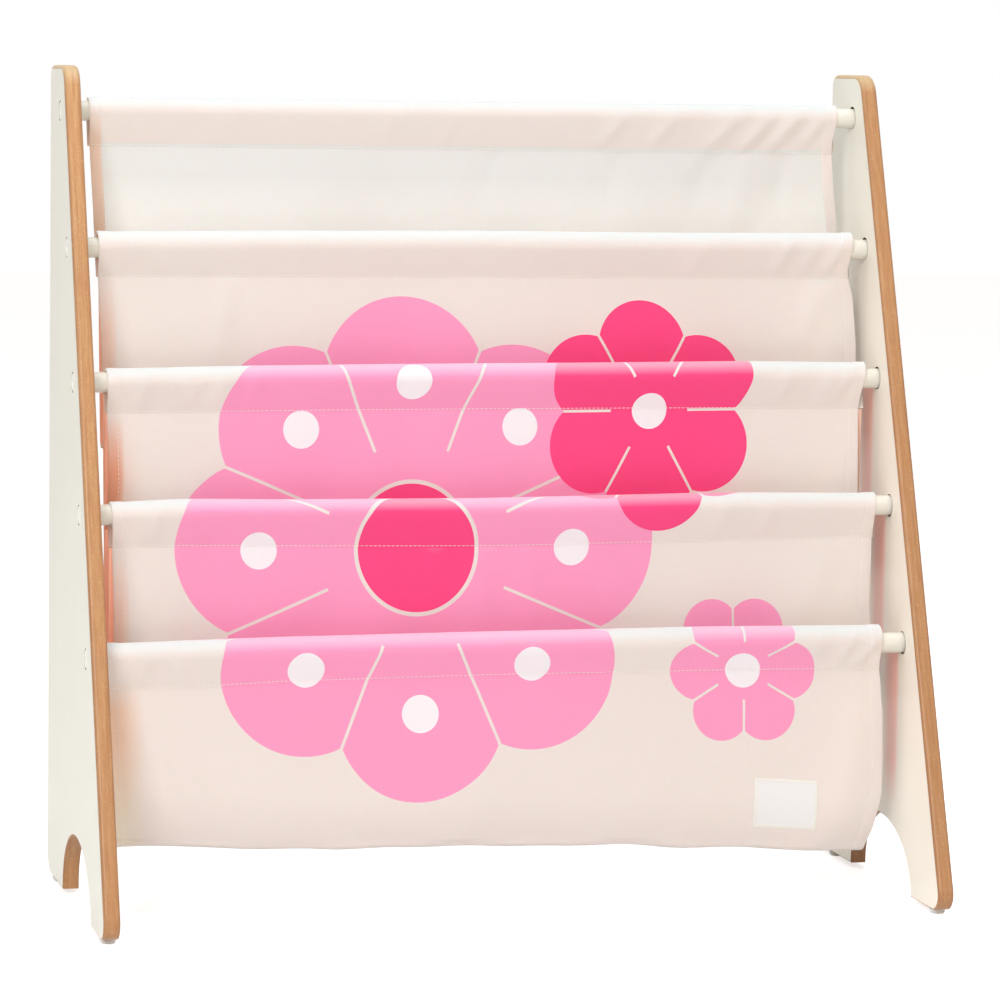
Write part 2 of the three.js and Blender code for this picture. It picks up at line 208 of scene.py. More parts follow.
def new_piece(name, vertices, faces, materials, face_materials=None, smooth_below=40):
    """A mesh piece from points in millimetres, smooth where neighbouring faces turn less."""
    mesh = bpy.data.meshes.new(name)
    mesh.from_pydata((np.asarray(vertices, dtype=float) * MM).tolist(), [], faces)
    for material in materials:
        mesh.materials.append(material)
    if face_materials is not None:
        mesh.polygons.foreach_set("material_index", face_materials)
    mesh.polygons.foreach_set("use_smooth", [True] * len(mesh.polygons))
    mesh.update()
    mesh.set_sharp_from_angle(angle=math.radians(smooth_below))
    piece = bpy.data.objects.new(name, mesh)
    bpy.context.scene.collection.objects.link(piece)
    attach(piece, "root")
    return piece


def rounded_corner(before, corner, after, radius, steps):
    """Points of the arc that rounds one corner of an outline."""
    before, corner, after = (np.array(point, dtype=float) for point in (before, corner, after))
    to_before = (before - corner) / np.linalg.norm(before - corner)
    to_after = (after - corner) / np.linalg.norm(after - corner)
    half = math.acos(to_before @ to_after) / 2
    middle = (to_before + to_after) / np.linalg.norm(to_before + to_after)
    centre = corner + middle * radius / math.sin(half)
    start = corner + to_before * radius / math.tan(half) - centre
    end = corner + to_after * radius / math.tan(half) - centre
    sweep = math.atan2(start[0] * end[1] - start[1] * end[0], start @ end)
    angles = [sweep * i / steps for i in range(steps + 1)]
    return [
        (
            centre[0] + start[0] * math.cos(a) - start[1] * math.sin(a),
            centre[1] + start[0] * math.sin(a) + start[1] * math.cos(a),
        )
        for a in angles
    ]


def front_edge(z):
    return front_corner + (z - sole_height) * edge_slope


arch_steps = 56
board_outline = []
for step in range(arch_steps + 1):
    angle = math.pi * step / arch_steps
    board_outline.append((
        arch_middle + arch_half_width * math.cos(angle) + arch_crown_shift * math.sin(angle),
        sole_height + arch_rise * math.sin(angle),
    ))
heel = (back_edge, sole_height)
toe = (front_corner, sole_height)
top_front = (front_edge(rack_height), rack_height)
top_back = (back_edge, rack_height)
outline_rounds = [sole_round] * len(board_outline)
corner_steps = 14
for corner, radius, before_round, after_round in (
    ((heel, toe, top_front), toe_radius, sole_round, edge_round),
    ((toe, top_front, top_back), top_front_radius, edge_round, edge_round),
    ((top_front, top_back, heel), top_back_radius, edge_round, edge_round),
    ((top_back, heel, toe), heel_radius, edge_round, sole_round),
):
    arc = rounded_corner(*corner, radius, corner_steps)
    board_outline += arc
    outline_rounds += list(np.linspace(before_round, after_round, len(arc)))
board_outline = np.array(board_outline)
outline_rounds = np.array(outline_rounds)


def drawn_in(outline, distance):
    """The outline, which runs clockwise, moved inwards by a distance for each of its points."""
    ahead = np.roll(outline, -1, axis=0) - outline
    ahead /= np.linalg.norm(ahead, axis=1)[:, None]
    inward_after = np.stack([ahead[:, 1], -ahead[:, 0]], axis=1)
    inward_before = np.roll(inward_after, 1, axis=0)
    both = inward_after + inward_before
    return outline + both * (2 * distance / (both * both).sum(axis=1))[:, None]


def board_mesh(side):
    """Points, faces and face materials of one panel. Side is -1 for the left, 1 for the right."""
    mesh = bmesh.new()
    paint, brown, hole = 0, 1, 2
    round_steps = 7
    rings = []
    turn = [math.pi / 2 * step / round_steps for step in range(round_steps + 1)]
    depths = [
        (outline_rounds * (1 - math.sin(a)), outline_rounds * (1 - math.cos(a))) for a in turn
    ]
    depths += [(inset, board_thickness - x) for inset, x in reversed(depths)]
    for inset, depth in depths:
        ring = drawn_in(board_outline, inset)
        rings.append([
            mesh.verts.new((side * (outer_face - x), y, z)) for (y, z), x in zip(ring, depth)
        ])

    def bridge(first, second, material):
        count = len(first)
        for i in range(count):
            after = (i + 1) % count
            face = mesh.faces.new((first[i], first[after], second[after], second[i]))
            face.material_index = material

    for first, second in zip(rings, rings[1:]):
        bridge(first, second, brown)

    # A hole's rings, from the outer face inwards: radius, depth and whether it is in the recess
    hole_break = 0.35
    head_room = bolt_head_radius + 0.6
    head_depth = 3.2
    shank_room = 3.3
    recess_floor = 7
    rod_room = rod_radius + 1.0
    recess_break = 0.12
    hole_rings = [
        (head_room + hole_break, 0, 0),
        (head_room, hole_break, 0),
        (head_room, head_depth, 0),
        (shank_room, head_depth, 0),
        (shank_room, recess_floor, 0),
        (rod_room, recess_floor, 1),
        (rod_room, board_thickness - recess_break, 1),
        (rod_room + recess_break, board_thickness, 1),
    ]
    # Where each recess leaves room round its rod, which leans on the other side of it
    recess_room = [(0, 0.8), (0, 0.8), (-0.55, 0.45), (-0.85, -0.15), (-0.85, -0.15)]
    hole_sides = 40
    faces_open = ([], [])
    for (y, z), (room_y, room_z) in zip(rod_axes, recess_room):
        previous = None
        for step, (radius, x, in_recess) in enumerate(hole_rings):
            ring = []
            for i in range(hole_sides):
                a = 2 * math.pi * i / hole_sides
                ring_y = y + room_y * in_recess + radius * math.cos(a)
                ring_z = z + room_z * in_recess + radius * math.sin(a)
                ring.append(mesh.verts.new((side * (outer_face - x), ring_y, ring_z)))
            if previous:
                bridge(previous, ring, paint if step in (1, len(hole_rings) - 1) else hole)
            else:
                faces_open[0].append(ring)
            previous = ring
        faces_open[1].append(previous)

    for outer_ring, holes in ((rings[0], faces_open[0]), (rings[-1], faces_open[1])):
        edges = []
        for ring in (outer_ring, *holes):
            for i, vertex in enumerate(ring):
                after = ring[(i + 1) % len(ring)]
                edges.append(mesh.edges.get((vertex, after)) or mesh.edges.new((vertex, after)))
        filled = bmesh.ops.triangle_fill(mesh, use_beauty=True, edges=edges)
        for face in filled["geom"]:
            if isinstance(face, bmesh.types.BMFace):
                face.material_index = paint
    bmesh.ops.recalc_face_normals(mesh, faces=mesh.faces)
    mesh.verts.index_update()
    points = [tuple(vertex.co) for vertex in mesh.verts]
    faces = [[vertex.index for vertex in face.verts] for face in mesh.faces]
    kinds = [face.material_index for face in mesh.faces]
    mesh.free()
    return points, faces, kinds


board_paint, root, shader = new_finish("board_paint", Specular_IOR_Level=0.45)
place = on_piece(root)
board_x, board_y, board_z = parts(place)
inner_right = (board_x > (inner_face - 10) * MM) * (board_x < (inner_face + 3) * MM)
# Painted light: the right panel's inner face is paler lower down, for the light that the cloth
# throws onto it
paint_colour = layered(
    tinted(noise(root, place, 90, detail=3.0), colour(233, 229, 214), colour(239, 235, 222)),
    (ramp(board_z, 0.54, 0.36) * inner_right, (248, 242, 227)),
)
# Painted shade: just behind the walls of the lower pockets, the right panel's inner face is given
# the warm colour of the shadow that the cloth casts there
lowest_wall_end = 95
for number in (2, 3, 4):
    wall_y, top_z = rod_axes[number]
    low_z = rod_axes[number + 1][1] if number < 4 else lowest_wall_end
    behind_wall = ramp(board_y, (wall_y + 3) * MM, (wall_y + 11) * MM)
    far_behind = ramp(board_y, (wall_y + 26) * MM, (wall_y + 42) * MM)
    above = ramp(board_z, (low_z - 32) * MM, (low_z + 4) * MM)
    painted_shade = behind_wall * (1 - far_behind) * above * (board_z < (top_z - 6) * MM) * inner_right
    paint_colour = layered(paint_colour, (painted_shade, (255, 200, 182)))
orange_peel = noise(root, place, 1.6, detail=1.0)
finish_with(
    root,
    shader,
    Base_Color=paint_colour,
    Roughness=0.34 + 0.12 * noise(root, place, 24, detail=3.0),
    Normal=bumped(root, orange_peel, 0.05),
)

# The lacquered edge: fibres, streaks and stripes along it, and flecks. Painted shade makes it
# darker where it rounds into each face, on the right panel and in that panel's arch. It is also
# darker low down, and paler over the top
board_edge, root, shader = new_finish(
    "board_edge", Specular_IOR_Level=0.4, Coat_Weight=0.35, Coat_Roughness=0.3
)
place = on_piece(root)
board_x, board_y, board_z = parts(place)
broad = noise(root, place, 30, stretch=(0.2, 1, 1.6), detail=3.0)
streaks = noise(root, place, 2.2, stretch=(1, 6, 12), detail=3.0, roughness=0.6)
stripes = noise(root, place, 1.7, stretch=(1, 30, 60), detail=2.0)
fibres = noise(root, place, 0.8, stretch=(1.6, 1.6, 0.8), detail=4.0, roughness=0.65)
flecks = noise(root, place, 1.3, stretch=(1.8, 1.8, 0.7), detail=1.0)
from_middle = root.math("ABSOLUTE", board_x) - (outer_face - board_thickness / 2) * MM
# Where painted shade falls inside the right panel's arch
arch_shade = (board_y > 0.0) * (board_y < 0.08) * (board_z < 0.056) * (board_x > 0.0)
edge_colour = layered(
    tinted(broad, colour(186, 130, 82), colour(205, 151, 100)),
    (ramp(streaks, 0.35, 0.65) * 0.65, (217, 170, 118)),
    (ramp(stripes, 0.5, 0.68) * 0.45, (158, 106, 62)),
    # painted shade where the edge rounds over into each face
    (ramp(root.math("ABSOLUTE", from_middle), 3.4 * MM, 6 * MM) * 0.4, (146, 102, 62)),
    # painted shade: the right panel's edge is darker
    ((board_x > 0.0) * 0.16, (140, 88, 50)),
    (ramp(board_z, 0.6, 0.1) * 0.25, (150, 96, 52)),
    # painted shade inside the right panel's arch
    (arch_shade * 0.6, (96, 54, 22)),
    (ramp(board_z, 0.596, 0.608) * 0.7, (214, 188, 140)),
    (ramp(fibres, 0.62, 0.36) * 0.3, (148, 97, 56)),
    (ramp(flecks, 0.66, 0.78) * 0.4, (232, 194, 148)),
)
finish_with(
    root,
    shader,
    Base_Color=edge_colour,
    Roughness=0.42 + 0.2 * fibres,
    Normal=bumped(root, fibres, 0.1),
)
# Bare board for the walls of the holes, darker than the edge: the board's own colour with painted
# shade in the holes
shaded_bare_board = grained_finish(
    "shaded_bare_board",
    {"size": 0.8, "detail": 4.0, "roughness": 0.65},
    low=(96, 64, 40),
    high=(132, 92, 60),
    depth=0.15,
    Roughness=0.75,
)

for side, side_name in ((-1, "left"), (1, "right")):
    points, faces, kinds = board_mesh(side)
    panel = new_piece(
        f"{side_name}_panel_board", points, faces, [board_paint, board_edge, shaded_bare_board], kinds
    )
    weighted = panel.modifiers.new("flat faces stay flat", "WEIGHTED_NORMAL")
    weighted.keep_sharp = True
    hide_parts(f"{side_name}_side_panel")

# ---- Foot glides and their nails -----------------------------------------------------------------
# A pale plastic disc under each foot, moulded with a low upright rim and a rounded sole. One round
# steel nail goes up through its middle into the board, with its head sunk in the sole.
glide_radius = 6
glide_height = 3.5
foot_places = {"front": -122.02, "back": 110.02}


def turned(profile, sides, axis, middle, way=1):
    """Points and faces of a turned piece. The profile holds pairs of radius and place along the
    axis, from one end to the other. A radius of 0 closes the end, and a pair of "hex" and a radius
    is a hexagon's ring."""
    points = []
    faces = []
    rings = []
    for radius, along in profile:
        start = len(points)
        for i in range(1 if radius == 0 else sides):
            a = 2 * math.pi * i / sides
            reach = radius
            if isinstance(radius, tuple):
                fold = (a % (math.pi / 3)) - math.pi / 6
                reach = radius[1] * math.cos(math.pi / 6) / math.cos(fold)
            spoke = (reach * math.cos(a), reach * math.sin(a))
            offset = (way * along, *spoke) if axis == "X" else (*spoke, way * along)
            points.append([m + o for m, o in zip(middle, offset)])
        rings.append(range(start, len(points)))
    for first, second in zip(rings, rings[1:]):
        for i in range(sides):
            after = (i + 1) % sides
            quad = [first[i % len(first)], first[after % len(first)]]
            quad += [second[after % len(second)], second[i % len(second)]]
            face = list(dict.fromkeys(quad))
            if len(face) > 2:
                faces.append(face if way > 0 else face[::-1])
    return points, faces


glide_plastic, root, shader = new_finish(
    "glide_plastic", Subsurface_Weight=0.15, Subsurface_Scale=0.002
)
place = on_piece(root)
mottle = noise(root, place, 3, detail=3.0)
scuffs = noise(root, place, 0.7, stretch=(3, 1, 1), detail=4.0)
finish_with(
    root,
    shader,
    Base_Color=tinted(mottle, colour(226, 227, 224), colour(238, 238, 235)),
    Roughness=0.38 + 0.25 * scuffs,
    Normal=bumped(root, scuffs, 0.04),
)

nail_steel = grained_finish(
    "nail_steel",
    {"size": 0.25, "stretch": (1, 1, 12), "detail": 3.0},
    low=(150, 151, 152),
    high=(190, 191, 192),
    depth=0.02,
    roughness=(0.25, 0.2),
    Metallic=1.0,
)
glide_profile = [
    (2.9, 1.8),
    (2.9, 0.25),
    (3.15, 0),
    (4.2, 0),
    (4.9, 0.25),
    (5.55, 1.0),
    (5.92, 1.75),
    (glide_radius, 2.3),
    (glide_radius, 3.3),
    (5.8, glide_height),
    (1.1, glide_height),
    (1.1, 1.8),
    (2.9, 1.8),
]
for side, side_name in ((-1, "left"), (1, "right")):
    for foot, y in foot_places.items():
        middle = (side * (outer_face - board_thickness / 2), y, 0)
        points, faces = turned(glide_profile, 48, "Z", middle)
        glide_name = f"glide_{foot}_{side_name}"
        glide = new_piece(glide_name, points, faces, [glide_plastic], smooth_below=50)
        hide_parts(f"foot_glide_{foot}_{side_name}")
        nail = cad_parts[f"glide_nail_{foot}_{side_name}"]
        for slot in nail.material_slots:
            slot.material = nail_steel

# ---- Rods and their threaded inserts -------------------------------------------------------------
# Five round rods of hardwood, sprayed satin white, with the ends just broken. Both ends are bored
# for a brass insert, which the furniture bolt screws into.
rod_end = 304.7
rod_paint, root, shader = new_finish("rod_paint", Specular_IOR_Level=0.5)
place = on_piece(root)
grain = noise(root, place, 0.6, stretch=(40, 1, 1), detail=3.0)
finish_with(
    root,
    shader,
    Base_Color=tinted(noise(root, place, 60), colour(231, 227, 215), colour(237, 233, 222)),
    Roughness=0.34 + 0.15 * noise(root, place, 9, detail=3.0),
    Normal=bumped(root, grain, 0.05),
)
insert_brass = grained_finish(
    "insert_brass",
    {"size": 0.3, "stretch": (1, 8, 8)},
    low=(178, 142, 70),
    high=(206, 172, 98),
    depth=0.03,
    roughness=(0.28, 0.15),
    Metallic=1.0,
)
bore_radius = 4.9
bore_floor = 287.7
half_rod = [
    (0, bore_floor),
    (bore_radius, bore_floor),
    (bore_radius, rod_end),
    (6.9, rod_end),
    (7.25, rod_end - 0.12),
    (7.44, rod_end - 0.4),
    (rod_radius, rod_end - 0.9),
]
rod_profile = [(radius, -x) for radius, x in half_rod] + half_rod[::-1]
for number, (y, z) in enumerate(rod_axes, 1):
    points, faces = turned(rod_profile, 64, "X", (0, y, z))
    rod = new_piece(f"round_rod_{number}", points, faces, [rod_paint], smooth_below=50)
    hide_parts(f"rod_{number}")
    for side_name in ("left", "right"):
        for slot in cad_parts[f"insert_{side_name}_{number}"].material_slots:
            slot.material = insert_brass

# ---- Furniture bolts -----------------------------------------------------------------------------
# Ten steel bolts with flat, softly rounded heads and a hex socket, enamelled white. Each head lies
# just under the panel's outer face, in its counterbore.
bolt_enamel, root, shader = new_finish(
    "bolt_enamel", Specular_IOR_Level=0.5, Coat_Weight=0.3, Coat_Roughness=0.2
)
place = on_piece(root)
thick_coat = noise(root, place, 1.2, detail=2.0)
finish_with(
    root,
    shader,
    Base_Color=tinted(noise(root, place, 4), colour(240, 238, 229), colour(246, 244, 236)),
    Roughness=0.26 + 0.12 * thick_coat,
    Normal=bumped(root, thick_coat, 0.04),
)
head_height = 2.7
head_sunk = 0.2
shank_radius = 3
shank_end = head_height + 15
head_shifts = [-0.35, 0.42, 0.42, 0.42, 0.42]  # how far each bolt sits back from its rod's axis
bolt_profile = [
    (0, 2.0),
    (("hex", 2.4), 1.8),
    (("hex", 2.4), 0.2),
    (("hex", 2.6), 0.02),
    (5.6, 0),
    (6.2, 0.06),
    (6.6, 0.22),
    (6.88, 0.5),
    (bolt_head_radius, 0.95),
    (bolt_head_radius, head_height - 0.2),
    (6.8, head_height),
    (shank_radius, head_height),
    (shank_radius, shank_end - 0.6),
    (2.4, shank_end),
    (0, shank_end),
]
for number, (y, z) in enumerate(rod_axes, 1):
    for side, side_name in ((-1, "left"), (1, "right")):
        middle = (side * (outer_face - head_sunk), y + head_shifts[number - 1], z)
        points, faces = turned(bolt_profile, 48, "X", middle, way=-side)
        bolt = new_piece(f"enamelled_bolt_{side_name}_{number}", points, faces, [bolt_enamel])
        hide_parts(f"bolt_{side_name}_{number}")

# ---- Canvas sling --------------------------------------------------------------------------------
# Four lengths of cream cotton canvas, printed in two pinks, hemmed at both sides and sewn together
# under the rods. Each length makes a sleeve round one rod, hangs down behind the next rod, turns,
# and comes up to the seam under that rod. The lowest length also makes the sleeve of the last rod.
canvas_thickness = 1.1
layer_gap = 0.4
layer_offset = (canvas_thickness + layer_gap) / 2
sleeve_grip = rod_radius + 0.3
turn_radius = 5
hem_width = 8.5
rng = np.random.default_rng(38)

# Heights of each sleeve's top over its rod's axis, and drops of its seam below the axis, along X
sleeve_tops = [
    [(-290, 10.1), (0, 9.8), (288, 9.6)],
    [(-290, 11.8), (-150, 12.8), (0, 13.3), (150, 12.3), (288, 12.6)],
    [(-290, 9.9), (-170, 11.7), (-60, 12.5), (60, 12.8), (190, 13.5), (288, 12.4)],
    [(-290, 9.0), (-235, 10.9), (-150, 9.6), (-20, 9.0), (170, 11.0), (288, 9.6)],
    [(-292, 10.9), (-150, 13.3), (0, 14.3), (150, 14.8), (284, 13.6)],
]
seam_drops = [
    [(-290, 25.7), (0, 26.7), (288, 27.6)],
    [(-290, 21.2), (288, 22.0)],
    [(-290, 22.6), (0, 22.0), (288, 22.6)],
    [(-290, 23.4), (0, 27.4), (288, 23.7)],
    [(-292, 22.4), (-230, 22.2), (-150, 19.4), (0, 17.9), (150, 18.2), (284, 19.3)],
]
# Places of the left and right side edges at heights below the sleeve's top, measured down the cloth
left_edges = [
    [
        (0, -291.5), (10, -291.5), (14, -291.3), (36, -290.2), (100, -287), (140, -283.5),
        (470, -283.5),
    ],
    [
        (0, -289.9), (10, -289.4), (30, -289), (90, -286.6), (130, -285.5), (235, -285.5),
        (320, -287.5), (470, -287.5),
    ],
    [(0, -288.2), (10, -287.6), (30, -287), (90, -286), (130, -289), (470, -290)],
    [(0, -289.8), (30, -288), (90, -286.8), (235, -291.5), (330, -295), (395, -298), (470, -299)],
]
right_edges = [
    [(0, 286.2), (10, 285.4), (36, 283), (60, 284.6), (100, 288.3), (235, 287), (470, 288)],
    [(0, 288.7), (12, 287.6), (34, 285.6), (60, 291), (95, 293.4), (235, 288), (470, 289)],
    [(0, 289.7), (12, 288), (34, 285.4), (95, 285.2), (235, 287), (470, 287)],
    [
        (0, 288.1), (12, 287), (30, 286.6), (90, 285.6), (125, 286.6), (190, 286), (238, 274.4),
        (250, 272.5), (264, 274.2), (279, 276.6), (302, 281.8), (325, 286), (345, 286.3),
        (383, 285.6), (400, 284), (425, 281.5), (470, 281.5),
    ],
]
# Heights of the pockets' bottoms over the floor. Only the lowest one slants
pocket_bottoms = [[(-289, height), (289, height)] for height in (329.7, 233.75, 140.8)]
pocket_bottoms.append([
    (-283, 52.0), (-155, 46.2), (-118, 44.2), (-81, 45.1), (69, 42.2), (185, 36.8), (249, 32.6),
    (275, 32.0),
])


def eased(table, at):
    """A table's values at the places given, with soft turns at the table's places."""
    places = np.array([row[0] for row in table], dtype=float)
    values = np.array([row[1] for row in table], dtype=float)
    at = np.clip(at, places[0], places[-1])
    after = np.clip(np.searchsorted(places, at, side="right"), 1, len(places) - 1)
    share = (at - places[after - 1]) / (places[after] - places[after - 1])
    soft = share * share * (3 - 2 * share)
    mixed = 0.5 * share + 0.5 * soft
    return values[after - 1] + (values[after] - values[after - 1]) * mixed


# Stations across the cloth, closer together over the hems
cloth_width = 578.0
hem_places = np.array([0, 0.5, 1.3, 2.6, 4.2, 5.8, 7.0, 7.7, 8.2, 8.6, 9.1, 10.0, 11.6])
inner_places = np.linspace(14, cloth_width - 14, 176)
station_places = np.concatenate([hem_places, inner_places, cloth_width - hem_places[::-1]])
across = station_places / cloth_width * 2 - 1
flat_x = across * cloth_width / 2


def sleeve_points(number, x):
    """The back flap, the arc over the rod and the front flap of one sleeve, from the seam behind
    to the seam in front, as arrays of Y and Z with one row for each station."""
    axis_y, axis_z = rod_axes[number]
    top = eased(sleeve_tops[number], x)
    drop = eased(seam_drops[number], x)
    lift = (top - sleeve_grip - canvas_thickness) / (1 + sleeve_grip / drop)
    radius = sleeve_grip * (1 + lift / drop) + canvas_thickness / 2
    hang = drop + lift
    reach = np.hypot(layer_offset, hang)
    front_touch = np.arctan2(-hang, -layer_offset) - np.arccos(radius / reach)
    back_touch = -front_touch - 3 * math.pi
    ys = []
    zs = []

    def line(y0, z0, y1, z1, shares):
        for share in shares:
            ys.append(y0 + (y1 - y0) * share)
            zs.append(z0 + (z1 - z0) * share)

    seam_z = axis_z - drop
    centre_z = axis_z + lift
    back_y = axis_y + radius * np.cos(back_touch)
    back_z = centre_z + radius * np.sin(back_touch)
    line(axis_y + layer_offset + 0 * x, seam_z, back_y, back_z, np.linspace(0, 1, 9)[:-1])
    for share in np.linspace(0, 1, 30):
        angle = back_touch + (front_touch - back_touch) * share
        ys.append(axis_y + radius * np.cos(angle))
        zs.append(centre_z + radius * np.sin(angle))
    front_y = axis_y + radius * np.cos(front_touch)
    front_z = centre_z + radius * np.sin(front_touch)
    flap = np.append(np.linspace(0, 0.94, 14)[1:], 1)
    line(front_y, front_z, axis_y - layer_offset + 0 * x, seam_z, flap)
    return np.array(ys).T, np.array(zs).T


def wall_waves(number, x, z, turn_z, top_z):
    """How far the hanging walls belly out of their plane, behind and in front."""
    wave_length = 290
    most_belly = 2.4
    phase = 2 * math.pi * x / wave_length + number
    belly = np.sin(math.pi * np.clip((z - turn_z) / (top_z - turn_z), 0, 1)) * most_belly
    return belly * (1 + np.sin(phase)) * 0.5, belly * (1 + np.cos(phase)) * 0.5


def cloth_path(number):
    """Y and Z of the middle of one length of canvas, and the rows of its seams and turns."""
    axis_y, axis_z = rod_axes[number]
    next_y, next_z = rod_axes[number + 1]
    x = flat_x
    ys, zs = sleeve_points(number, x)
    seam_row = ys.shape[1] - 1
    seam_z = zs[:, -1]
    bottom = eased(pocket_bottoms[number], x)
    turn_z = bottom + turn_radius + canvas_thickness / 2
    turn_y = next_y + (axis_y - next_y) * 0.38  # the turn lies nearer the next rod
    rows_y = [ys]
    rows_z = [zs]

    # The back wall of the pocket, down from the seam, with close rows where it leaves the seam
    shares = np.concatenate([[0.004, 0.012, 0.024], np.linspace(0.04, 1, 62)])
    z = seam_z[:, None] + (turn_z - seam_z)[:, None] * shares[None, :]
    sag = wall_waves(number, x[:, None], z, turn_z[:, None], seam_z[:, None])[0]
    start_y = axis_y - layer_offset
    rows_y.append(start_y + (turn_y + turn_radius - start_y) * shares[None, :] ** 2 - sag)
    rows_z.append(z)
    for share in np.linspace(0, 1, 12)[1:-1]:
        angle = -math.pi * share
        rows_y.append((turn_y + turn_radius * math.cos(angle) + 0 * x)[:, None])
        rows_z.append((turn_z + turn_radius * math.sin(angle))[:, None])
    turn_row = sum(part.shape[1] for part in rows_y)

    # The front wall, up to the seam under the next rod
    lowest = number == 3
    next_drop = eased(seam_drops[number + 1], x)
    end_z = next_z - next_drop - (0 if lowest else 0.4)
    end_y = next_y - layer_offset if lowest else next_y + layer_offset
    shares = np.linspace(0, 1, 46 if lowest else 34)
    z = turn_z[:, None] + (end_z - turn_z)[:, None] * shares[None, :]
    sag = wall_waves(number, x[:, None], z, turn_z[:, None], end_z[:, None])[1]
    sweep_height = 36
    sweep = 1 - np.minimum((z - turn_z[:, None]) / sweep_height, 1)
    rows_y.append(end_y + (turn_y - turn_radius - end_y) * sweep * sweep + sag)
    rows_z.append(z)
    last_seam_row = sum(part.shape[1] for part in rows_y) - 1
    if lowest:
        ys, zs = sleeve_points(number + 1, x)
        rows_y.append(ys[:, ::-1][:, 1:])
        rows_z.append(zs[:, ::-1][:, 1:])
    return np.hstack(rows_y), np.hstack(rows_z), seam_row, turn_row, last_seam_row


fold_stretch = 1.4


def crease(x, down, middle_x, middle_down, half_length, half_width, tilt, height):
    """A soft fold. Tilt is in degrees from upright, plus where its lower end lies to the left."""
    tilt = math.radians(tilt)
    away_x = x - middle_x
    away_down = down - middle_down
    side = away_x * math.cos(tilt) + away_down * math.sin(tilt)
    along = away_down * math.cos(tilt) - away_x * math.sin(tilt)
    fade = np.exp(-((side / half_width) ** 2) - (along / (fold_stretch * half_length)) ** 2)
    return height * fade


def soft_waves(x, down, longest, shortest, count, stretch):
    """A seeded field of gentle waves between -1 and 1 or so."""
    total = 0 * x * down
    for _ in range(count):
        length = rng.uniform(shortest, longest)
        tilt = rng.uniform(-0.35, 0.35)
        phase = rng.uniform(0, 2 * math.pi)
        wave = 2 * math.pi * (x + tilt * down) / length + phase + down / (length * stretch)
        total = total + np.sin(wave)
    return total / math.sqrt(count)


# Folds seen in each tier: X, distance down from the sleeve's top, half length, half width, tilt,
# height. Those further down than the sleeve's seam are in the wall below it
below_seam = 40
folds = [
    [
        (112, 25, 11, 5.1, 38, 1.53), (152, 25, 11, 5.1, 38, 1.53), (200, 25, 12, 5.95, 38, 1.87),
        (226, 27, 11, 5.1, 36, 2.21), (249, 25, 12, 5.1, 36, 2.55), (272, 24, 10, 4.25, 30, 2.04),
        (-190, 24, 10, 5.95, 25, 0.68), (-62, 25, 10, 5.1, 25, 0.85), (-14, 25, 10, 5.1, 25, 0.68),
        (14, 60, 26, 9, 25, -0.9), (110, 64, 26, 9, 22, -1.1), (184, 62, 26, 9, 28, -1.2),
        (214, 70, 24, 8, 24, 1.1), (246, 66, 24, 7, 12, -1.6), (226, 92, 20, 7.65, 30, -1.1),
    ],
    [
        (170, 22, 10, 5.1, 25, 1.19), (236, 22, 11, 5.1, 25, 1.7), (258, 22, 10, 5.1, 20, 1.36),
        (276, 24, 12, 5.1, 25, 2.04), (-238, 22, 10, 6.8, 10, 1.02),
        (-215, 22, 10, 5.95, -15, 0.85), (-196, 62, 26, 8.5, 10, 1.53),
        (262, 56, 24, 9.35, 30, 2.21),
    ],
    [
        (-262, 20, 10, 5.1, 15, 1.53), (-240, 20, 10, 5.1, -20, 1.36),
        (-226, 21, 10, 5.1, 15, 1.36), (-205, 21, 10, 5.1, 20, 1.36), (-180, 21, 10, 5.1, 15, 1.19),
        (228, 21, 10, 5.1, 20, 1.36), (272, 22, 11, 5.1, 25, 1.87), (262, 20, 10, 4.25, 20, 1.53),
        (-40, 60, 26, 10.2, 6, 0.85),
    ],
    [
        (-258, 21, 10, 5.95, 15, 1.53), (-232, 21, 10, 5.1, -15, 1.36),
        (170, 22, 10, 5.1, 25, 1.19), (205, 22, 10, 5.1, 25, 1.19),
        (-50, 62, 28, 6.8, 4, 1.02), (-12, 62, 28, 6.8, 4, 1.02),
        (22, 62, 28, 6.8, -4, 0.85), (250, 60, 24, 9.35, 20, 1.36),
    ],
]
last_tier_folds = [
    (-262, 20, 9, 5.1, 20, 1.36), (-236, 20, 9, 5.1, -10, 1.02), (240, 20, 9, 5.1, 20, 1.02),
    (262, 20, 9, 5.1, 25, 1.53), (276, 26, 9, 4.25, 35, 2.04), (-250, 120, 40, 13.6, -8, 1.36),
    (262, 110, 42, 11.9, 8, 1.7), (110, 130, 30, 17, 20, 0.85), (-90, 140, 24, 18.7, -20, 0.85),
]


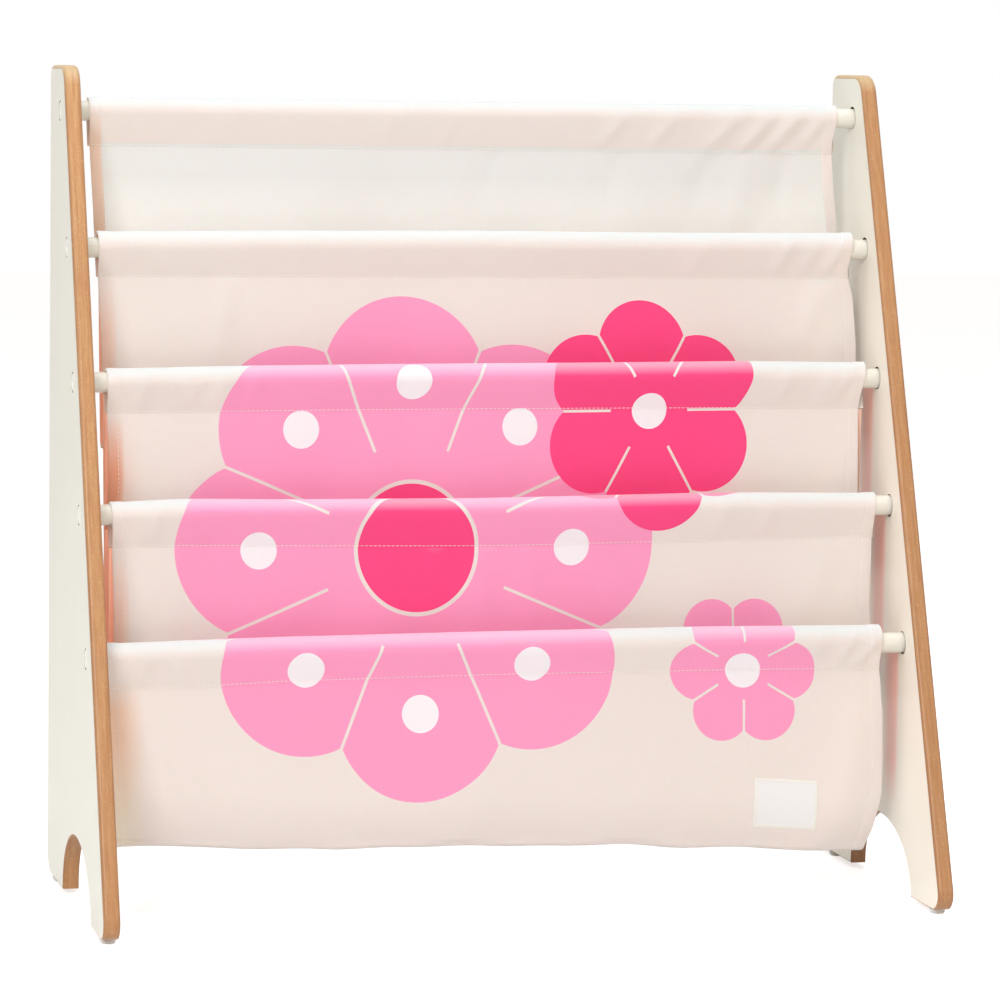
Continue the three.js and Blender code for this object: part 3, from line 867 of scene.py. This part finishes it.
def canvas_length(number):
    """Points of one length's two faces, its normals, distances along it and its marked rows."""
    ys, zs, seam_row, turn_row, last_seam_row = cloth_path(number)
    steps = np.hypot(np.diff(ys, axis=1), np.diff(zs, axis=1))
    along = np.concatenate([np.zeros((len(across), 1)), np.cumsum(steps, axis=1)], axis=1)
    middle = len(across) // 2
    top_row = int(np.argmax(zs[middle, :seam_row]))
    down = along - along[:, top_row][:, None]
    left = eased(left_edges[number], down)
    right = eased(right_edges[number], down)
    share = (across[:, None] + 1) / 2
    xs = left + (right - left) * share

    # The cloth's own folds, its slack in the walls and its puckers beside the seams
    slack_height, slack_reach = 0.5, 60
    pucker_height, pucker_reach = 0.2, 9
    off_the_rod = 4
    relief = np.zeros_like(xs)
    x = flat_x[:, None]
    row = np.arange(ys.shape[1])[None, :]
    sleeve_part = (down > off_the_rod) & (row <= seam_row)
    wall_part = (row > seam_row) & (row < turn_row)
    for fold in folds[number]:
        zone = wall_part if fold[1] > below_seam else sleeve_part
        relief += np.where(zone, crease(x, down, *fold), 0)
    slack = soft_waves(x, down, 150, 60, 6, 3.0)
    seam_distance = np.abs(down - down[:, seam_row][:, None])
    pucker = soft_waves(x, 0 * down, 34, 12, 7, 8.0)
    slack_share = np.clip(seam_distance / slack_reach, 0, 1)
    relief += np.where(wall_part, slack_height * slack * slack_share, 0)
    relief += pucker_height * pucker * np.exp(-seam_distance / pucker_reach) * (row <= turn_row)
    seam_fade = np.clip(seam_distance / 5, 0, 1)
    relief *= np.where(row < turn_row, 0.25 + 0.75 * seam_fade, 1)
    if number == 3:
        last_top = int(np.argmax(zs[middle, last_seam_row:])) + last_seam_row
        from_top = along[:, last_top][:, None] - along
        front_part = row >= turn_row
        front_wall = front_part & (row < last_seam_row)
        last_sleeve = (row >= last_seam_row) & (from_top > off_the_rod)
        for fold in last_tier_folds:
            zone = front_wall if fold[1] > below_seam else last_sleeve
            relief -= np.where(zone, crease(x, from_top, *fold), 0)
        distance = np.abs(along - along[:, last_seam_row][:, None])
        pucker = soft_waves(x, 0 * down, 34, 12, 7, 8.0)
        relief -= pucker_height * pucker * np.exp(-distance / pucker_reach) * front_part
        slack = soft_waves(x, down, 170, 70, 6, 3.0)
        slack_share = np.clip(distance / slack_reach, 0, 1)
        relief -= np.where(front_wall, slack_height * slack * slack_share, 0)

    # The relief follows the cloth's normals
    ahead_y = np.gradient(ys, axis=1)
    ahead_z = np.gradient(zs, axis=1)
    size = np.hypot(ahead_y, ahead_z)
    normal_y = ahead_z / size
    normal_z = -ahead_y / size
    ys = ys + relief * normal_y
    zs = zs + relief * normal_z

    # A hem is a doubled edge, held down by its stitch line
    edge_distance = cloth_width / 2 - np.abs(flat_x)
    doubled = np.clip((hem_width + 0.3 - edge_distance) / 0.6, 0, 1)
    groove = 0.28 * np.exp(-(((edge_distance - hem_width + 1.0) / 0.55) ** 2))
    rolled = 0.25 * np.clip(1 - edge_distance / 0.9, 0, 1) ** 2
    half = (canvas_thickness / 2 + 0.38 * doubled - groove - rolled)[:, None]
    face_a = np.stack([xs, ys + normal_y * half, zs + normal_z * half], axis=2)
    face_b = np.stack([xs, ys - normal_y * half, zs - normal_z * half], axis=2)
    normals = np.stack([0 * xs, normal_y, normal_z], axis=2)
    marks = {"top": top_row, "seam": seam_row, "turn": turn_row, "last_seam": last_seam_row}
    return face_a, face_b, normals, along, marks


def band_faces(stations, count):
    """Faces of a closed band whose two sides are grids of points, one after the other."""
    faces = []
    under = stations * count
    for i in range(stations - 1):
        for j in range(count - 1):
            a, b = i * count + j, (i + 1) * count + j
            faces.append((a, a + 1, b + 1, b))
            faces.append((under + a, under + b, under + b + 1, under + a + 1))
        for j, flip in ((0, False), (count - 1, True)):
            a, b = i * count + j, (i + 1) * count + j
            face = (a, b, under + b, under + a)
            faces.append(face[::-1] if flip else face)
    for i, flip in ((0, True), (stations - 1, False)):
        for j in range(count - 1):
            a = i * count + j
            face = (a, a + 1, under + a + 1, under + a)
            faces.append(face[::-1] if flip else face)
    return faces


# The print: flowers in two pinks on cream. Its coordinates are metres across and up the front.
canvas, root, shader = new_finish(
    "canvas",
    Specular_IOR_Level=0.2,
    Roughness=0.9,
    Sheen_Weight=0.45,
    Sheen_Roughness=0.4,
    Subsurface_Weight=0.1,
    Subsurface_Scale=0.003,
    Subsurface_Radius=(1.0, 0.38, 0.24),
    Emission_Strength=1.0,
)
weave_x, weave_y, _ = parts(root.make("ShaderNodeUVMap", {"uv_map": "weave"}))
print_x, print_y, _ = parts(root.make("ShaderNodeUVMap", {"uv_map": "print"}))


def flower(middle, petals, turn, petal_reach, petal_radius, core_radius):
    """A flower of round petals: its mask, and the distances in metres from its middle, from the
    middle of the nearest petal and from the line between two petals."""
    x = print_x - middle[0] * MM
    y = print_y - middle[1] * MM
    radius = root.math("SQRT", x * x + y * y)
    angle = root.math("ARCTAN2", y, x) + (turn + 4 * math.pi)
    sector = 2 * math.pi / petals
    folded = root.math("MODULO", angle, sector) - sector / 2
    lobe_x = radius * root.math("COSINE", folded) - petal_reach * MM
    lobe_y = radius * root.math("SINE", folded)
    lobe = root.math("SQRT", lobe_x * lobe_x + lobe_y * lobe_y)
    shape = root.math("MAXIMUM", lobe < petal_radius * MM, radius < core_radius * MM)
    seam_turn = root.math("ABSOLUTE", folded) - sector / 2
    seam = root.math("ABSOLUTE", radius * root.math("SINE", seam_turn))
    return shape, radius, lobe, seam


# The weave map runs along the cloth, and its whole metres count the lengths from the top. In the
# print map, faces without a print lie far under the floor: those inside the pockets at one metre
# and the rest at two. The shares below pick out the places where light and shade are painted on
in_pocket_height, rear_height = -1000.0, -2000.0
hem_start = (cloth_width / 2 - hem_width) * MM
top_seam = 0.549
top_length = weave_y < 0.9
run = root.math("FRACT", weave_y)
past_rod = ramp(run, 0.052, 0.076)
below_rod = ramp(run, 0.078, 0.12)
third_length = (weave_y > 2.0) * (weave_y < 3.0)
in_pocket = (print_y < in_pocket_height / 2 * MM) * (print_y > in_pocket_height * 1.5 * MM)
single_layer = top_length * (print_y < top_seam) * (root.math("ABSOLUTE", weave_x) < hem_start)
left_hem = (weave_x < -hem_start) * root.math("MAXIMUM", top_length, in_pocket)
left_side = ramp(weave_x, -0.2765, -0.2815)
left_broad = ramp(weave_x, -0.262, -0.28)
right_side = ramp(weave_x, 0.262, 0.28)
shaded_corner = left_side * below_rod * (1 - top_length)
under_seam = ramp(print_y, 0.172, 0.15)
cream_rear = colour(242, 229, 219)

# Cream cloth. Where it is a single layer it is greyer by the seam and paler lower down: painted
# light
# that stands in for the light coming through it. It is warmer at the left side and inside the
# pockets:
# painted shade, and at the left hem also the doubled cloth
cream = layered(
    tinted(
        single_layer,
        colour(238, 227, 221),
        tinted(ramp(print_y, 0.526, 0.492), colour(230, 229, 226), colour(247, 245, 241)),
    ),
    # The left hem: doubled cloth, with painted shade of the left panel on it
    (left_hem * past_rod * 0.75, (242, 204, 178)),
    # Painted shade at the cloth's left side under the rods, strongest in the third length
    (left_broad * below_rod * third_length * 0.35, (255, 204, 182)),
    (shaded_corner * (weave_y < 3.18) * 0.5, (250, 190, 162)),
    (shaded_corner * third_length * 0.8, (238, 160, 124)),
)
# Painted shade of the left panel on the lower left of the lowest wall
low_left_shade = tinted(ramp(print_y, 0.07, 0.13), colour(255, 243, 221), colour(250, 206, 176))
cream = tinted(left_broad * under_seam * (weave_y > 3.25) * 0.75, cream, low_left_shade)
# Painted shade: inside the pockets, past the rod and at the right side, the cloth takes the warm
# colour of its shade
cream = tinted(in_pocket, cream, tinted(past_rod, cream_rear, colour(247, 211, 190)))
cream = layered(cream, (in_pocket * past_rod * right_side * 0.6, (246, 192, 172)))
cream = tinted(print_y < in_pocket_height * 1.5 * MM, cream, cream_rear)
light_pink = colour(255, 160, 200)
hot_pink = colour(255, 78, 138)
white_ink = colour(250, 242, 246)
dot_radius = 13.5 * MM
heart_radius = 44 * MM
heart_ring = 3 * MM
big, big_radius, big_lobe, big_seam = flower((-62, 258), 8, math.pi / 8, 118, 62, 118)
print_colour = tinted(big, cream, light_pink)
print_colour = tinted(big_lobe < dot_radius, print_colour, white_ink)
petal_line = (big_seam < 1.1 * MM) * (big_radius > 72 * MM)
print_colour = tinted(petal_line, print_colour, cream)
print_colour = tinted(big_radius < heart_radius + heart_ring, print_colour, cream)
print_colour = tinted(big_radius < heart_radius, print_colour, hot_pink)
lower = flower((182, 166), 6, math.pi / 6, 34, 22, 32)
upper = flower((122, 352), 6, math.pi / 3, 50, 34, 48)
for (shape, radius, _, seam), ink, line_half, line_start in (
    (lower, light_pink, 0.9, 22),
    (upper, hot_pink, 1.0, 30),
):
    print_colour = tinted(shape, print_colour, ink)
    petal_line = (seam < line_half * MM) * (radius > line_start * MM) * shape
    print_colour = tinted(petal_line, print_colour, cream)
    print_colour = tinted(radius < dot_radius, print_colour, white_ink)

# Faces that turn upwards, mostly over the rods, are paler and cooler: a painted highlight
upward = root.make("ShaderNodeTexCoord", output="Normal")
upward = root.make("ShaderNodeSeparateXYZ", {}, {0: upward}, output=2)
print_colour = layered(print_colour, (ramp(upward, 0.1, 0.8) * 0.36, (200, 228, 235)))

# The weave: threads that pass over and under, with slubs where a thread is thicker
thread_pitch = 0.7 * MM
warp = root.math("SINE", weave_x * (2 * math.pi / thread_pitch))
weft = root.math("SINE", weave_y * (2 * math.pi / thread_pitch))
crossing = warp * weft
weave_place = root.make("ShaderNodeCombineXYZ", {}, {0: weave_x, 1: weave_y})
slub_x = noise(root, weave_place, 1.1, stretch=(14, 1, 1), detail=2.0)
slub_y = noise(root, weave_place, 1.1, stretch=(1, 14, 1), detail=2.0)
mottle = noise(root, weave_place, 70, detail=4.0)
fine = noise(root, weave_place, 0.8, detail=2.0)
weave_height = 0.5 + 0.22 * crossing + 0.3 * (slub_x + slub_y) + 0.3 * fine - 0.45
rumple = noise(root, weave_place, 26, stretch=(1, 1.6, 1), detail=3.0, roughness=0.45)
shade = 0.965 + 0.05 * (slub_x * slub_y) + 0.02 * mottle
tone = root.make("ShaderNodeCombineColor", {}, {0: shade, 1: shade, 2: shade})
print_colour = root.make(
    "ShaderNodeMix",
    {"data_type": "RGBA", "blend_type": "MULTIPLY"},
    {0: 1.0, 6: print_colour, 7: tone},
    output=2,
)
rumple_bump = {
    "Height": rumple,
    "Distance": 0.7 * MM,
    "Strength": 1.0,
    "Normal": bumped(root, weave_height, 0.08),
}
both_bumps = root.make("ShaderNodeBump", {}, rumple_bump)

# A painted glow at the pockets' left side, more so past the rod, stands in for warm light coming
# through the cloth
let_through = in_pocket * left_side * (0.3 + 0.7 * past_rod)
glow = tinted(let_through, (0, 0, 0, 1), (0.3, 0.07, 0.035, 1))
finish_with(root, shader, Base_Color=print_colour, Emission_Color=glow, Normal=both_bumps)

thread_finish = grained_finish(
    "sewing_thread",
    {"size": 0.35},
    low=(240, 231, 222),
    high=(250, 243, 236),
    depth=0.05,
    Roughness=0.6,
    Sheen_Weight=0.2,
)


def stitch_row(line, normals, pitch=3.3, length=2.5, thread=0.24):
    """Small stitches of thread along a line of points that lies on the cloth."""
    steps = np.linalg.norm(np.diff(line, axis=0), axis=1)
    run = np.concatenate([[0], np.cumsum(steps)])

    def at(distance, table):
        return np.array([np.interp(distance, run, table[:, axis]) for axis in range(3)])

    points = []
    faces = []
    sides = 5
    for entry in np.arange(1, run[-1] - pitch, pitch):
        ends = at(entry, line), at(entry + length, line)
        ahead = ends[1] - ends[0]
        ahead = ahead / np.linalg.norm(ahead)
        first = len(points)
        for share, rise, girth in ((0, -0.2, 0.8), (0.2, 0.1, 1), (0.8, 0.1, 1), (1, -0.2, 0.8)):
            distance = entry + length * share
            normal = at(distance, normals)
            normal = normal / np.linalg.norm(normal)
            beside = np.cross(ahead, normal)
            middle = at(distance, line) + normal * rise
            for i in range(sides):
                a = 2 * math.pi * i / sides
                offset = beside * math.cos(a) * girth + normal * math.sin(a) * girth * 0.8
                points.append(middle + offset * thread)
        for ring in range(3):
            start = first + ring * sides
            for i in range(sides):
                a, b = start + i, start + (i + 1) % sides
                faces.append((a, b, b + sides, a + sides))
        faces.append(tuple(first + i for i in reversed(range(sides))))
        faces.append(tuple(first + 3 * sides + i for i in range(sides)))
    return points, faces


# Each length was printed on its own, so the print slips a little from tier to tier
print_slides = [(0, 0), (1.5, 1.0), (-1.0, -1.0), (1.5, 0.5), (-0.5, -1.0)]
print_shrink = 0.955
seam_allowance = 20
hem_line = hem_width - 1.0
for number in range(4):
    lowest = number == 3
    face_a, face_b, normals, along, marks = canvas_length(number)
    top, seam, turn, last_seam = (marks[name] for name in ("top", "seam", "turn", "last_seam"))
    stations, count = along.shape
    points = np.concatenate([face_a.reshape(-1, 3), face_b.reshape(-1, 3)])
    faces = band_faces(stations, count)
    cloth = new_piece(f"canvas_length_{number + 1}", points, faces, [canvas], smooth_below=55)

    # The print faces the front: on the first face down to where the next sleeve hides it, and on
    # the lowest length also on the other face, from the bottom up and over the last rod
    next_sleeve_z = rod_axes[number + 1][1] - 12
    rows = np.arange(count)[None, :] + 0 * along
    top_z = face_a[:, top, 2].mean()
    height_a = top_z + print_slides[number][1] - (along - along[:, top][:, None]) * print_shrink
    behind_next = (face_a[:, :, 2] < next_sleeve_z) & (rows > seam)
    height_a = np.where(behind_next, in_pocket_height, height_a)
    height_a = np.where(rows >= turn, rear_height, height_a)
    height_b = np.where((rows >= turn) | (rows < top), in_pocket_height, rear_height)
    if lowest:
        last_top = int(np.argmax(face_b[stations // 2, last_seam:, 2])) + last_seam
        last_top_z = face_b[:, last_top, 2].mean()
        from_top = along[:, last_top][:, None] - along
        printed = last_top_z + print_slides[4][1] - from_top * print_shrink
        height_b = np.where(rows >= turn - 6, printed, height_b)
    cloth_x = flat_x[:, None] + 0 * along
    weave_uv = np.stack([cloth_x, along + number / MM], axis=2).reshape(-1, 2)
    print_a = np.stack([cloth_x + print_slides[number][0], height_a], axis=2).reshape(-1, 2)
    print_b = np.stack([cloth_x + print_slides[4][0], height_b], axis=2).reshape(-1, 2)
    corners = np.empty(len(cloth.data.loops), dtype=np.int64)
    cloth.data.loops.foreach_get("vertex_index", corners)
    for map_name, values in (
        ("weave", np.concatenate([weave_uv, weave_uv])),
        ("print", np.concatenate([print_a, print_b])),
    ):
        layer = cloth.data.uv_layers.new(name=map_name)
        layer.uv.foreach_set("vector", (values[corners] * MM).ravel())

    # Stitches: along both hems on the face that shows, and just above each seam
    hem_runs = [(face_a, 1, slice(8, turn)), (face_b, -1, slice(seam + 1, last_seam))]
    seam_runs = [(face_a, 1, seam - 1)]
    if lowest:
        hem_runs.append((face_b, -1, slice(last_seam, -8)))
        seam_runs.append((face_b, -1, last_seam + 1))
    lines = []
    for sign in (-1, 1):
        nearest = int(np.argmin(np.abs(flat_x - sign * (cloth_width / 2 - hem_line))))
        for face, way, run_rows in hem_runs:
            lines.append((face[nearest, run_rows], way * normals[nearest, run_rows]))
    for face, way, row in seam_runs:
        lines.append((face[:, row], way * normals[:, row]))
    stitch_points = []
    stitch_faces = []
    for line, line_normals in lines:
        points, faces = stitch_row(line, line_normals)
        first = len(stitch_points)
        stitch_points += points
        stitch_faces += [tuple(first + i for i in face) for face in faces]
    stitches = new_piece(f"stitches_{number + 1}", stitch_points, stitch_faces, [thread_finish])
    last_sleeve = ["sleeve_5"] if lowest else []
    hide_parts(f"sleeve_{number + 1}", f"pocket_{number + 1}", *last_sleeve)
    (along[:, -1].max() + seam_allowance) * MM
    [f"round_rod_{number + 1}"] + (["round_rod_5"] if lowest else [])

# ---- Label ---------------------------------------------------------------------------------------
# A small tab of fine white woven tape with its edges turned in, sewn flat to the lower right of the
# front, near the bottom. It is left bare.
label_width = 48.5
label_height = 37.5
label_thickness = 0.5
label_border = 2.0
label_lift = 0.06
label_middle_x = 211.8
label_rise = 16.7
border_lines = np.array([0, 0.25, 0.8, 1.6, 1.95, 2.25])
label_stitch = 1.6


def label_lines(size, count):
    """Places of the mesh's lines across a side of the label, closer together in its border."""
    inner = np.linspace(3.5, size - 3.5, count)
    return np.concatenate([border_lines, inner, size - border_lines[::-1]])


label_columns = label_lines(label_width, 18)
label_rows = label_lines(label_height, 14)
front_grid = []
back_grid = []
wall = slice(marks["turn"], marks["last_seam"])
wall_x = face_b[:, marks["turn"] + 20, 0]
for column in label_columns:
    x = label_middle_x - label_width / 2 + column
    after = int(np.searchsorted(wall_x, x))
    share = (x - wall_x[after - 1]) / (wall_x[after] - wall_x[after - 1])
    column_points = face_b[after - 1, wall] * (1 - share) + face_b[after, wall] * share
    bottom = float(eased(pocket_bottoms[3], np.array([x]))[0])
    for row in label_rows:
        z = bottom + label_rise + row
        y = np.interp(z, column_points[:, 2], column_points[:, 1]) - label_lift
        edge = min(column, label_width - column, row, label_height - row)
        turned_in = 0.22 if 0.2 < edge < label_border else 0.0
        stitch_dip = 0.15 if abs(edge - label_stitch) < 0.05 else 0.0
        front_grid.append((x, y - label_thickness - turned_in + stitch_dip, z))
        back_grid.append((x, y, z))
satin = {"size": 0.35, "stretch": (10, 1, 1)}
label_cloth = grained_finish(
    "label_tape",
    satin,
    low=(234, 234, 234),
    high=(242, 241, 242),
    depth=0.05,
    Roughness=0.7,
    Specular_IOR_Level=0.3,
    Sheen_Weight=0.15,
)
label_edge = grained_finish(
    "label_edge",
    satin,
    low=(236, 234, 226),
    high=(243, 241, 233),
    depth=0.05,
    Roughness=0.75,
    Specular_IOR_Level=0.3,
)
columns, rows = len(label_columns), len(label_rows)
faces = band_faces(columns, rows)
kinds = []
for face in faces:
    spots = [divmod(i % (columns * rows), rows) for i in face]
    x = np.mean([label_columns[column] for column, _ in spots])
    z = np.mean([label_rows[row] for _, row in spots])
    edge = min(x, label_width - x, z, label_height - z)
    kinds.append(1 if edge < label_border else 0)
label = new_piece(
    "label_tab", front_grid + back_grid, faces, [label_cloth, label_edge], kinds, smooth_below=50
)
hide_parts("label")

# ---- Studio --------------------------------------------------------------------------------------
# A white floor and white surroundings, a large soft lamp high at the front left, a wide one
# overhead and a weak, warm one at the front right. The camera stands where the photograph was
# taken.
camera_place = Vector((-0.7626, -3.0674, 0.6189))
camera_yaw, camera_pitch, camera_roll = (math.radians(a) for a in (13.989, -4.875, 0.780))
camera_lens = 155.16
ahead = Vector((
    math.sin(camera_yaw) * math.cos(camera_pitch),
    math.cos(camera_yaw) * math.cos(camera_pitch),
    math.sin(camera_pitch),
))
beside = Vector((math.cos(camera_yaw), -math.sin(camera_yaw), 0))
upward = beside.cross(ahead)
right = beside * math.cos(camera_roll) + upward * math.sin(camera_roll)
upward = upward * math.cos(camera_roll) - beside * math.sin(camera_roll)
camera_data = bpy.data.cameras.new("camera")
camera_data.lens = camera_lens
camera_data.sensor_width = 36
camera_data.shift_y = -0.0736
camera_data.clip_end = 50
camera = bpy.data.objects.new("camera", camera_data)
camera.matrix_world = Matrix((
    (right.x, upward.x, -ahead.x, camera_place.x),
    (right.y, upward.y, -ahead.y, camera_place.y),
    (right.z, upward.z, -ahead.z, camera_place.z),
    (0, 0, 0, 1),
))
bpy.context.scene.collection.objects.link(camera)
bpy.context.scene.camera = camera

floor_mesh = bpy.data.meshes.new("floor")
half_floor = 9
floor_corners = [
    (x * half_floor, y * half_floor, 0) for x, y in ((-1, -1), (1, -1), (1, 1), (-1, 1))
]
floor_mesh.from_pydata(floor_corners, [], [(0, 1, 2, 3)])
floor = bpy.data.objects.new("floor", floor_mesh)
bpy.context.scene.collection.objects.link(floor)


def seen(root):
    """1 where a surface shows in the picture, in gloss or through glass, and 0 where it lights."""
    path = root.make("ShaderNodeLightPath")
    camera_ray, glossy_ray, passing_ray = (
        path.other(f"Is {kind} Ray") for kind in ("Camera", "Glossy", "Transmission")
    )
    return root.math("MINIMUM", camera_ray + glossy_ray + passing_ray, 1.0)


floor_finish, root, shader = new_finish(
    "floor_white", Base_Color=(0.8, 0.8, 0.8, 1), Roughness=0.9, Specular_IOR_Level=0.0
)
floor_glow = 0.62
glow = root.make("ShaderNodeEmission", {}, {"Color": (1, 1, 1, 1), "Strength": floor_glow})
plain = Value(root.tree, shader.outputs[0])
bright = root.make("ShaderNodeAddShader", {}, {0: plain, 1: glow})
mixed = root.make("ShaderNodeMixShader", {}, {0: seen(root), 1: plain, 2: bright})
root.tree.links.new(mixed.socket, root.tree.nodes["Material Output"].inputs["Surface"])
floor_mesh.materials.append(floor_finish)

world = bpy.data.worlds.new("studio")
world.use_nodes = True
bpy.context.scene.world = world
root = Value(world.node_tree)
shown = seen(root)
behind = parts(root.make("ShaderNodeTexCoord", output="Generated"))[1]
level = 0.47 + 0.31 * behind  # the surroundings light a little more from the back
strength = level + (1 - level) * shown
tint = layered((1.0, 1.0, 1.0, 1.0), (ramp(behind, 0.3, -0.7) * (1 - shown), (255, 234, 219)))
background = world.node_tree.nodes["Background"]
root.tree.links.new(tint.socket, background.inputs["Color"])
root.tree.links.new(strength.socket, background.inputs["Strength"])


def soft_lamp(name, place, target, width, height, power, warmth=(1, 1, 1)):
    lamp = bpy.data.lights.new(name, "AREA")
    lamp.shape = "RECTANGLE"
    lamp.size = width
    lamp.size_y = height
    lamp.energy = power
    lamp.color = warmth
    holder = bpy.data.objects.new(name, lamp)
    holder.location = place
    holder.rotation_euler = (Vector(target) - Vector(place)).to_track_quat("-Z", "Y").to_euler()
    bpy.context.scene.collection.objects.link(holder)


soft_lamp("key", (-1.9, -2.85, 1.9), (0, 0, 0.3), 1.4, 0.9, 66, (0.985, 0.99, 1.0))
soft_lamp("overhead", (0, -0.3, 2.6), (0, 0, 0.3), 2.0, 2.0, 36, (0.87, 0.95, 1.0))
soft_lamp("warm", (1.9, -3.0, 1.0), (0, 0, 0.3), 1.2, 1.2, 17, (1.0, 0.78, 0.62))

bpy.context.scene.view_settings.view_transform = "Standard"
